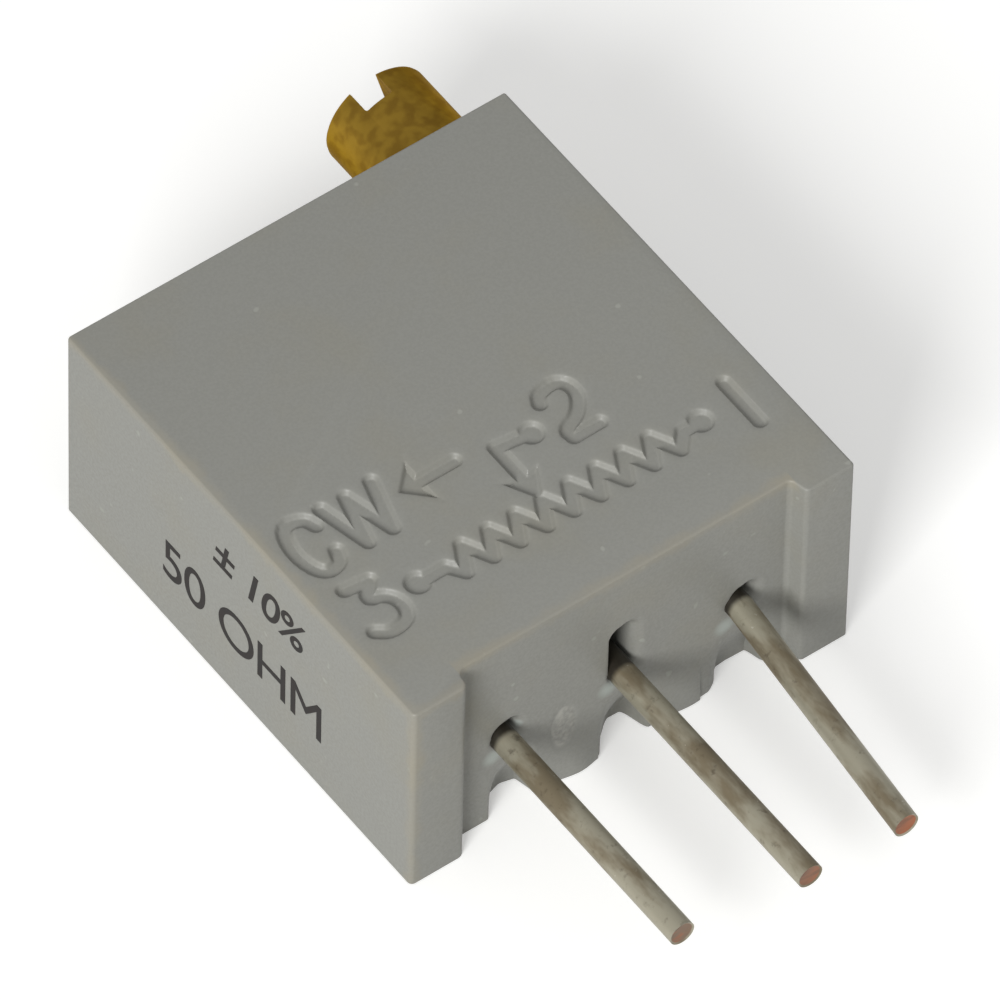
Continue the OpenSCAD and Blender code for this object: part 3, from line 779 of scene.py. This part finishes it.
NOISE = "ShaderNodeTexNoise"
RANGE = "ShaderNodeMapRange"
MATH = "ShaderNodeMath"
MIX = "ShaderNodeMix"
SOFT = {"interpolation_type": "SMOOTHSTEP"}
COLOUR = {"data_type": "RGBA"}
TIMES = {"operation": "MULTIPLY"}
PLUS = {"operation": "ADD"}
MINUS = {"operation": "SUBTRACT"}
LEAST = {"operation": "MINIMUM"}
MOST = {"operation": "MAXIMUM"}


def new_material(name):
    """An empty material: its node tree and the object coordinates, in metres."""
    material = bpy.data.materials.new(name)
    material.use_nodes = True
    material.node_tree.nodes.clear()
    place = add(material.node_tree, "ShaderNodeTexCoord", {}, {}).node.outputs["Object"]
    return material, material.node_tree, place


# Painted light round the pin holes: pale patches below and left of each pin exit paint light reflected off
# the pins onto the face, and the two small patches are painted highlights on the right lips of holes 3 and 1.
# x and z of each patch and its radius, in millimetres
PAINTED_HOLE_LIGHTS = [(2.3, 1.66, 0.3), (-0.25, 1.8, 0.28), (-2.74, 1.74, 0.28), (-2.17, 2.2, 0.14), (2.82, 2.16, 0.15)]


def housing_plastic():
    """Glass-filled grey thermoplastic, moulded: fine matt grain, left and pin-side edges rubbed to beige,
    painted reflected light and highlights round the pin holes, and a rough lighter oval where the gate was
    cut."""
    material, tree, place = new_material("moulded_grey_thermoplastic")
    split = add(tree, "ShaderNodeSeparateXYZ", {}, {"Vector": place}).node.outputs
    medium = add(tree, NOISE, {}, {"Vector": place, "Scale": 2200.0, "Detail": 3.0})
    wide = add(tree, NOISE, {}, {"Vector": place, "Scale": 420.0, "Detail": 4.0, "Roughness": 0.6})
    grain = add(tree, NOISE, {}, {"Vector": place, "Scale": 16000.0, "Detail": 2.0, "Roughness": 0.6})

    # Distance to the nearest of the edges that are rubbed: the left edges, the front edge of the
    # pin face and that of the left foot, but not that of the right foot
    from_left = add(tree, MATH, PLUS, {0: split[0], 1: HALF_W * MM})
    from_front = add(tree, MATH, MINUS, {0: BODY_T * MM, 1: split[2]})
    from_floor = add(tree, MATH, PLUS, {0: split[1], 1: -FLOOR_Y * MM})
    from_floor = add(tree, MATH, {"operation": "ABSOLUTE"}, {0: from_floor})
    from_foot = add(tree, MATH, PLUS, {0: split[1], 1: -FOOT_Y * MM})
    left_foot = (-HALF_W + FOOT_LEFT_W) * MM
    right_foot = (HALF_W - FOOT_RIGHT_W) * MM
    on_left = add(tree, MATH, {"operation": "LESS_THAN"}, {0: split[0], 1: left_foot})
    on_right = add(tree, MATH, {"operation": "GREATER_THAN"}, {0: split[0], 1: right_foot})
    low_edge = add(tree, MIX, {"data_type": "FLOAT"}, {0: on_left, 1: from_floor, 2: from_foot})
    low_edge = add(tree, MATH, PLUS, {0: low_edge, 1: on_right})
    near_left = add(tree, MATH, LEAST, {0: from_front, 1: from_foot})
    near_left = add(tree, MATH, MOST, {0: from_left, 1: near_left})
    near_low = add(tree, MATH, MOST, {0: low_edge, 1: from_front})
    edge = add(tree, MATH, LEAST, {0: near_left, 1: near_low})
    limits = {"From Min": 0.3, "From Max": 0.7, "To Min": -0.00009, "To Max": 0.00009}
    edge = add(tree, MATH, PLUS, {0: edge, 1: add(tree, RANGE, {}, {"Value": medium, **limits})})
    limits = {"From Min": 0.00005, "From Max": 0.00027, "To Min": 1.0, "To Max": 0.0}
    worn = add(tree, RANGE, SOFT, {"Value": edge, **limits})
    limits = {"From Min": 0.35, "From Max": 0.62, "To Min": 0.25, "To Max": 0.62}
    worn = add(tree, MATH, TIMES, {0: worn, 1: add(tree, RANGE, {}, {"Value": wide, **limits})})

    stain = add(tree, RANGE, SOFT, {"Value": wide, "From Min": 0.45, "From Max": 0.75, "To Max": 0.35})
    base = add(tree, MIX, COLOUR, {0: stain, 1: hex_colour("8f8f89"), 2: hex_colour("908c7c")})
    dark = add(tree, RANGE, SOFT, {"Value": grain, "From Min": 0.3, "From Max": 0.7, "To Max": 0.2})
    base = add(tree, MIX, COLOUR, {0: dark, 1: base, 2: hex_colour("7c7c76")})
    speck = add(tree, NOISE, {}, {"Vector": place, "Scale": 3300.0, "Detail": 1.0})
    speck = add(tree, RANGE, SOFT, {"Value": speck, "From Min": 0.74, "From Max": 0.8, "To Max": 0.5})
    base = add(tree, MIX, COLOUR, {0: speck, 1: base, 2: hex_colour("a6a79f")})
    base = add(tree, MIX, COLOUR, {0: worn, 1: base, 2: hex_colour("989282")})

    # The gate mark, an oval on the pin face
    across = add(tree, MATH, PLUS, {0: split[0], 1: -GATE_X * MM})
    across = add(tree, MATH, TIMES, {0: across, 1: 3500.0})
    upward = add(tree, MATH, PLUS, {0: split[2], 1: -GATE_Z * MM})
    upward = add(tree, MATH, TIMES, {0: upward, 1: 1700.0})
    inward = add(tree, MATH, TIMES, {0: from_floor, 1: 5000.0})
    oval = add(tree, "ShaderNodeCombineXYZ", {}, {0: across, 1: upward, 2: inward})
    oval = add(tree, "ShaderNodeVectorMath", {"operation": "LENGTH"}, {0: oval})
    limits = {"From Min": 0.8, "From Max": 1.05, "To Min": 1.0, "To Max": 0.0}
    oval = add(tree, RANGE, SOFT, {"Value": oval, **limits})
    torn = add(tree, NOISE, {}, {"Vector": place, "Scale": 9000.0, "Detail": 2.0})
    limits = {"From Min": 0.4, "From Max": 0.62, "To Min": 0.1, "To Max": 0.6}
    scar = add(tree, RANGE, {}, {"Value": torn, **limits})
    scar = add(tree, MATH, TIMES, {0: oval, 1: scar})
    base = add(tree, MIX, COLOUR, {0: scar, 1: base, 2: hex_colour("b2b0a8")})

    # Painted light round the pin holes: reflected light below and left of the pin exits, and highlights on
    # the right lips of holes 3 and 1
    for x, z, size in PAINTED_HOLE_LIGHTS:
        spot = Vector((x, FLOOR_Y + 0.06, z)) * MM
        far = add(tree, "ShaderNodeVectorMath", {"operation": "DISTANCE"}, {0: place, 1: spot})
        limits = {"From Min": 0.2 * size * MM, "From Max": size * MM, "To Min": 0.6, "To Max": 0.0}
        # Each patch is painted light, a pale bluish brightening of the face colour
        pale = add(tree, RANGE, SOFT, {"Value": far, **limits})
        base = add(tree, MIX, COLOUR, {0: pale, 1: base, 2: hex_colour("b9c2bc")})

    limits = {"From Min": 0.3, "From Max": 0.7, "To Min": 0.42, "To Max": 0.56}
    rough = add(tree, RANGE, {}, {"Value": grain, **limits})
    bump = add(tree, "ShaderNodeBump", {}, {"Height": grain, "Strength": 0.15, "Distance": 0.00001})
    shader = {"Base Color": base, "Roughness": rough, "Normal": bump, "IOR": 1.5}
    surface = add(tree, "ShaderNodeBsdfPrincipled", {}, shader)
    add(tree, "ShaderNodeOutputMaterial", {}, {"Surface": surface})
    return material


def aged_brass():
    """Turned brass gone brown: a dull gold with soft brown stains and faint tool lines round it."""
    material, tree, place = new_material("turned_aged_brass")
    stain = add(tree, NOISE, {}, {"Vector": place, "Scale": 900.0, "Detail": 4.0, "Roughness": 0.55})
    fine = add(tree, NOISE, {}, {"Vector": place, "Scale": 4200.0, "Detail": 1.5})
    share = add(tree, RANGE, SOFT, {"Value": stain, "From Min": 0.42, "From Max": 0.72, "To Max": 0.6})
    base = add(tree, MIX, COLOUR, {0: share, 1: hex_colour("a78634"), 2: hex_colour("7c6026")})
    share = add(tree, RANGE, SOFT, {"Value": fine, "From Min": 0.38, "From Max": 0.66, "To Max": 0.4})
    base = add(tree, MIX, COLOUR, {0: share, 1: base, 2: hex_colour("6b4a1c")})
    limits = {"From Min": 0.35, "From Max": 0.7, "To Min": 0.42, "To Max": 0.54}
    rough = add(tree, RANGE, {}, {"Value": stain, **limits})
    lines = {"Vector": place, "Scale": 9000.0, "Distortion": 1.5, "Detail": 2.0}
    lines = add(tree, "ShaderNodeTexWave", {"bands_direction": "Y"}, lines).node.outputs["Fac"]
    bump = add(tree, "ShaderNodeBump", {}, {"Height": lines, "Strength": 0.12, "Distance": 0.000005})
    shader = {"Base Color": base, "Roughness": rough, "Normal": bump, "Metallic": 0.93}
    shader["Specular Tint"] = (0.6, 0.48, 0.3, 1)
    surface = add(tree, "ShaderNodeBsdfPrincipled", {}, shader)
    add(tree, "ShaderNodeOutputMaterial", {}, {"Surface": surface})
    return material


def tinned_wire():
    """Dull tinned copper wire: warm grey tin with brown streaks along it, dark pits and bright specks,
    and painted shade that darkens each pin's root inside its hole and just outside it."""
    material, tree, place = new_material("dull_tinned_copper_wire")
    split = add(tree, "ShaderNodeSeparateXYZ", {}, {"Vector": place}).node.outputs
    stretch = add(tree, "ShaderNodeMapping", {}, {"Vector": place, "Scale": (1.0, 0.35, 1.0)})
    blotch = add(tree, NOISE, {}, {"Vector": stretch, "Scale": 1500.0, "Detail": 4.0, "Roughness": 0.6})
    grime = add(tree, NOISE, {}, {"Vector": place, "Scale": 5200.0, "Detail": 3.0, "Roughness": 0.65})
    share = add(tree, RANGE, SOFT, {"Value": blotch, "From Min": 0.42, "From Max": 0.62, "To Max": 0.95})
    base = add(tree, MIX, COLOUR, {0: share, 1: hex_colour("a39e8c"), 2: hex_colour("7b705a")})
    share = add(tree, RANGE, SOFT, {"Value": grime, "From Min": 0.56, "From Max": 0.78, "To Max": 0.6})
    base = add(tree, MIX, COLOUR, {0: share, 1: base, 2: hex_colour("4f4638")})
    share = add(tree, RANGE, SOFT, {"Value": grime, "From Min": 0.32, "From Max": 0.24, "To Max": 0.6})
    base = add(tree, MIX, COLOUR, {0: share, 1: base, 2: hex_colour("cfcbbd")})
    # Painted shade: the pin goes near black from about 0.2 mm outside the pin face inwards, standing for the
    # shadow of the hole's rim
    limits = {"From Min": -0.00498, "From Max": -0.00483, "To Max": 0.92}
    root = add(tree, RANGE, SOFT, {"Value": split[1], **limits})
    base = add(tree, MIX, COLOUR, {0: root, 1: base, 2: hex_colour("1e1a14")})
    limits = {"From Min": 0.35, "From Max": 0.7, "To Min": 0.42, "To Max": 0.56}
    rough = add(tree, RANGE, {}, {"Value": blotch, **limits})
    bump = add(tree, "ShaderNodeBump", {}, {"Height": grime, "Strength": 0.4, "Distance": 0.00001})
    shader = {"Base Color": base, "Roughness": rough, "Normal": bump, "Metallic": 0.45}
    surface = add(tree, "ShaderNodeBsdfPrincipled", {}, shader)
    add(tree, "ShaderNodeOutputMaterial", {}, {"Surface": surface})
    return material


def sheared_copper():
    """The bare copper end of a cut wire: dull orange-brown with drag marks of grey tin, least on
    pin 1 and most on pin 3."""
    material, tree, place = new_material("sheared_copper_end")
    stretch = add(tree, "ShaderNodeMapping", {}, {"Vector": place, "Scale": (0.3, 1.0, 1.0)})
    drag = add(tree, NOISE, {}, {"Vector": stretch, "Scale": 6000.0, "Detail": 3.0})
    share = add(tree, RANGE, SOFT, {"Value": drag, "From Min": 0.45, "From Max": 0.65, "To Max": 0.6})
    base = add(tree, MIX, COLOUR, {0: share, 1: hex_colour("a9694a"), 2: hex_colour("75503c")})
    split = add(tree, "ShaderNodeSeparateXYZ", {}, {"Vector": place}).node.outputs
    limits = {"From Min": -0.0026, "From Max": 0.0024, "To Min": 0.75, "To Max": 0.1}
    smear = add(tree, RANGE, {}, {"Value": split[0], **limits})
    wet = add(tree, RANGE, SOFT, {"Value": drag, "From Min": 0.35, "From Max": 0.5, "To Min": 0.5})
    smear = add(tree, MATH, TIMES, {0: smear, 1: wet})
    base = add(tree, MIX, COLOUR, {0: smear, 1: base, 2: hex_colour("7d7566")})
    bump = add(tree, "ShaderNodeBump", {}, {"Height": drag, "Strength": 0.4, "Distance": 0.00001})
    shader = {"Base Color": base, "Roughness": 0.6, "Normal": bump, "Metallic": 0.6}
    surface = add(tree, "ShaderNodeBsdfPrincipled", {}, shader)
    add(tree, "ShaderNodeOutputMaterial", {}, {"Surface": surface})
    return material


def plain_finish(name, colour, second, size_mm, roughness, metallic=0.0, coat=0.0):
    """A finish with a soft mottle of two colours and a little bump."""
    material, tree, place = new_material(name)
    mottle = add(tree, NOISE, {}, {"Vector": place, "Scale": 1000 / size_mm, "Detail": 4.0, "Roughness": 0.6})
    share = add(tree, RANGE, SOFT, {"Value": mottle, "From Min": 0.35, "From Max": 0.68})
    base = add(tree, MIX, COLOUR, {0: share, 1: hex_colour(colour), 2: hex_colour(second)})
    limits = {"From Min": 0.35, "From Max": 0.7, "To Min": roughness, "To Max": roughness + 0.1}
    rough = add(tree, RANGE, {}, {"Value": mottle, **limits})
    bump = add(tree, "ShaderNodeBump", {}, {"Height": mottle, "Strength": 0.2, "Distance": size_mm * 0.00003})
    shader = {"Base Color": base, "Roughness": rough, "Normal": bump}
    surface = add(tree, "ShaderNodeBsdfPrincipled", {}, {**shader, "Metallic": metallic, "Coat Weight": coat})
    add(tree, "ShaderNodeOutputMaterial", {}, {"Surface": surface})
    return material


def dress(piece, material):
    """Gives a piece one finish, and keeps the slot number of each face."""
    while piece.data.materials:
        piece.data.materials.pop()
    piece.data.materials.append(material)


grey = housing_plastic()
brass = aged_brass()
wire = tinned_wire()
copper = sheared_copper()
printing = plain_finish("black_marking_ink", "151110", "241e1b", 0.2, 0.75)
dress(housing, grey)
dress(screw, brass)
dress(thread, brass)
for piece in pins.values():
    dress(piece, wire)
    piece.data.materials.append(copper)
for piece in ink:
    dress(piece, printing)

finishes = {
    "rear_cover": plain_finish("moulded_grey_cover", "8a8984", "7d7c77", 0.4, 0.5),
    "epoxy_seal": plain_finish("cured_black_epoxy", "2b2724", "38322d", 0.9, 0.16, 0.0, 0.4),
    "ceramic_element": plain_finish("fired_alumina", "ece8de", "e0dbcf", 0.25, 0.4),
    "resistive_track": plain_finish("fired_cermet_film", "2a2c30", "1f2124", 0.12, 0.35),
    "collector_track": plain_finish("fired_silver_film", "c9c6bc", "b5b1a6", 0.1, 0.38, 0.9),
    "solder_1": plain_finish("tin_lead_solder", "b9bac0", "9d9ea3", 0.2, 0.25, 1.0),
    "wiper_gear": plain_finish("moulded_acetal", "e6e1d2", "dcd6c4", 0.5, 0.42),
    "wiper_contact": plain_finish("bright_spring_alloy", "d8c27c", "c9ae66", 0.15, 0.22, 1.0),
    "screw_o_ring": plain_finish("black_nitrile_rubber", "232323", "2d2c2b", 0.1, 0.6),
    "screw_retainer": plain_finish("stamped_steel", "bdbdb8", "a8a8a2", 0.2, 0.3, 1.0),
}
finishes["end_lead_1"] = finishes["collector_track"]
finishes["end_lead_3"] = finishes["collector_track"]
finishes["solder_2"] = finishes["solder_1"]
finishes["solder_3"] = finishes["solder_1"]
for name, material in finishes.items():
    dress(frame["nodes"][name], material)


# Floor, world and lamp

# The floor lies this far under the part, in metres, so that no faces meet
FLOOR_DROP = 0.00002


def floor():
    """A pale floor that shows white to the camera and keeps the part's shadow."""
    bm = bmesh.new()
    bmesh.ops.create_grid(bm, x_segments=1, y_segments=1, size=1.5)
    mesh = bpy.data.meshes.new("studio_floor")
    bm.to_mesh(mesh)
    bm.free()
    piece = bpy.data.objects.new("studio_floor", mesh)
    bpy.context.scene.collection.objects.link(piece)
    piece.location.z = -FLOOR_DROP
    material, tree, _ = new_material("studio_paper")
    rays = add(tree, "ShaderNodeLightPath", {}, {}).node.outputs
    shown = add(tree, MATH, MOST, {0: rays["Is Camera Ray"], 1: rays["Is Glossy Ray"]})
    shown = add(tree, MATH, MOST, {0: shown, 1: rays["Is Transmission Ray"]})
    paper = add(tree, MIX, COLOUR, {0: shown, 1: hex_colour("a9a9a7"), 2: hex_colour("ececea")})
    glow = add(tree, MATH, TIMES, {0: shown, 1: 0.32})
    shader = {"Base Color": paper, "Roughness": 0.9, "Specular IOR Level": 0.0}
    shader.update({"Emission Color": (1, 1, 1, 1), "Emission Strength": glow})
    surface = add(tree, "ShaderNodeBsdfPrincipled", {}, shader)
    add(tree, "ShaderNodeOutputMaterial", {}, {"Surface": surface})
    dress(piece, material)


def world():
    """Even pale light from all round, which the camera sees as white."""
    scene_world = bpy.data.worlds.new("studio")
    bpy.context.scene.world = scene_world
    scene_world.use_nodes = True
    tree = scene_world.node_tree
    tree.nodes.clear()
    rays = add(tree, "ShaderNodeLightPath", {}, {}).node.outputs
    shown = add(tree, MATH, MOST, {0: rays["Is Camera Ray"], 1: rays["Is Transmission Ray"]})
    lit = add(tree, "ShaderNodeBackground", {}, {"Color": (1, 1, 1, 1), "Strength": 0.48})
    seen = add(tree, "ShaderNodeBackground", {}, {"Color": (1, 1, 1, 1), "Strength": 1.0})
    both = add(tree, "ShaderNodeMixShader", {}, {0: shown, 1: lit, 2: seen})
    add(tree, "ShaderNodeOutputWorld", {}, {"Surface": both})


def lamp(name, place_mm, size_mm, power):
    """A square soft lamp that points at the part."""
    light = bpy.data.lights.new(name, "AREA")
    light.shape = "SQUARE"
    light.size = size_mm * MM
    light.energy = power
    holder = bpy.data.objects.new(name, light)
    bpy.context.scene.collection.objects.link(holder)
    holder.location = Vector(place_mm) * MM
    toward = Vector((0, 0, 2 * MM)) - holder.location
    holder.rotation_euler = toward.to_track_quat("-Z", "Y").to_euler()


floor()
world()
lamp("key_lamp", (-241, -148, 180), 120, 0.9)


# Camera


def camera():
    """A long lens 0.35 m away, turned as the photograph's perspective asks."""
    data = bpy.data.cameras.new("camera")
    data.lens = 720
    data.sensor_width = 36
    data.sensor_fit = "HORIZONTAL"
    data.clip_start = 0.01
    data.clip_end = 50
    holder = bpy.data.objects.new("camera", data)
    bpy.context.scene.collection.objects.link(holder)
    right = Vector((0.80541262, -0.59251536, 0.01536462))
    down = Vector((-0.45930756, -0.64030672, -0.61566539))
    ahead = Vector((0.37462927, 0.48880758, -0.78785789))
    turn = Matrix((right, -down, -ahead)).transposed().to_4x4()
    holder.matrix_world = Matrix.Translation(Vector((-130.982, -172.128, 278.747)) * MM) @ turn
    bpy.context.scene.camera = holder


camera()
bpy.context.scene.view_settings.view_transform = "Standard"

bpy.context.view_layer.update()
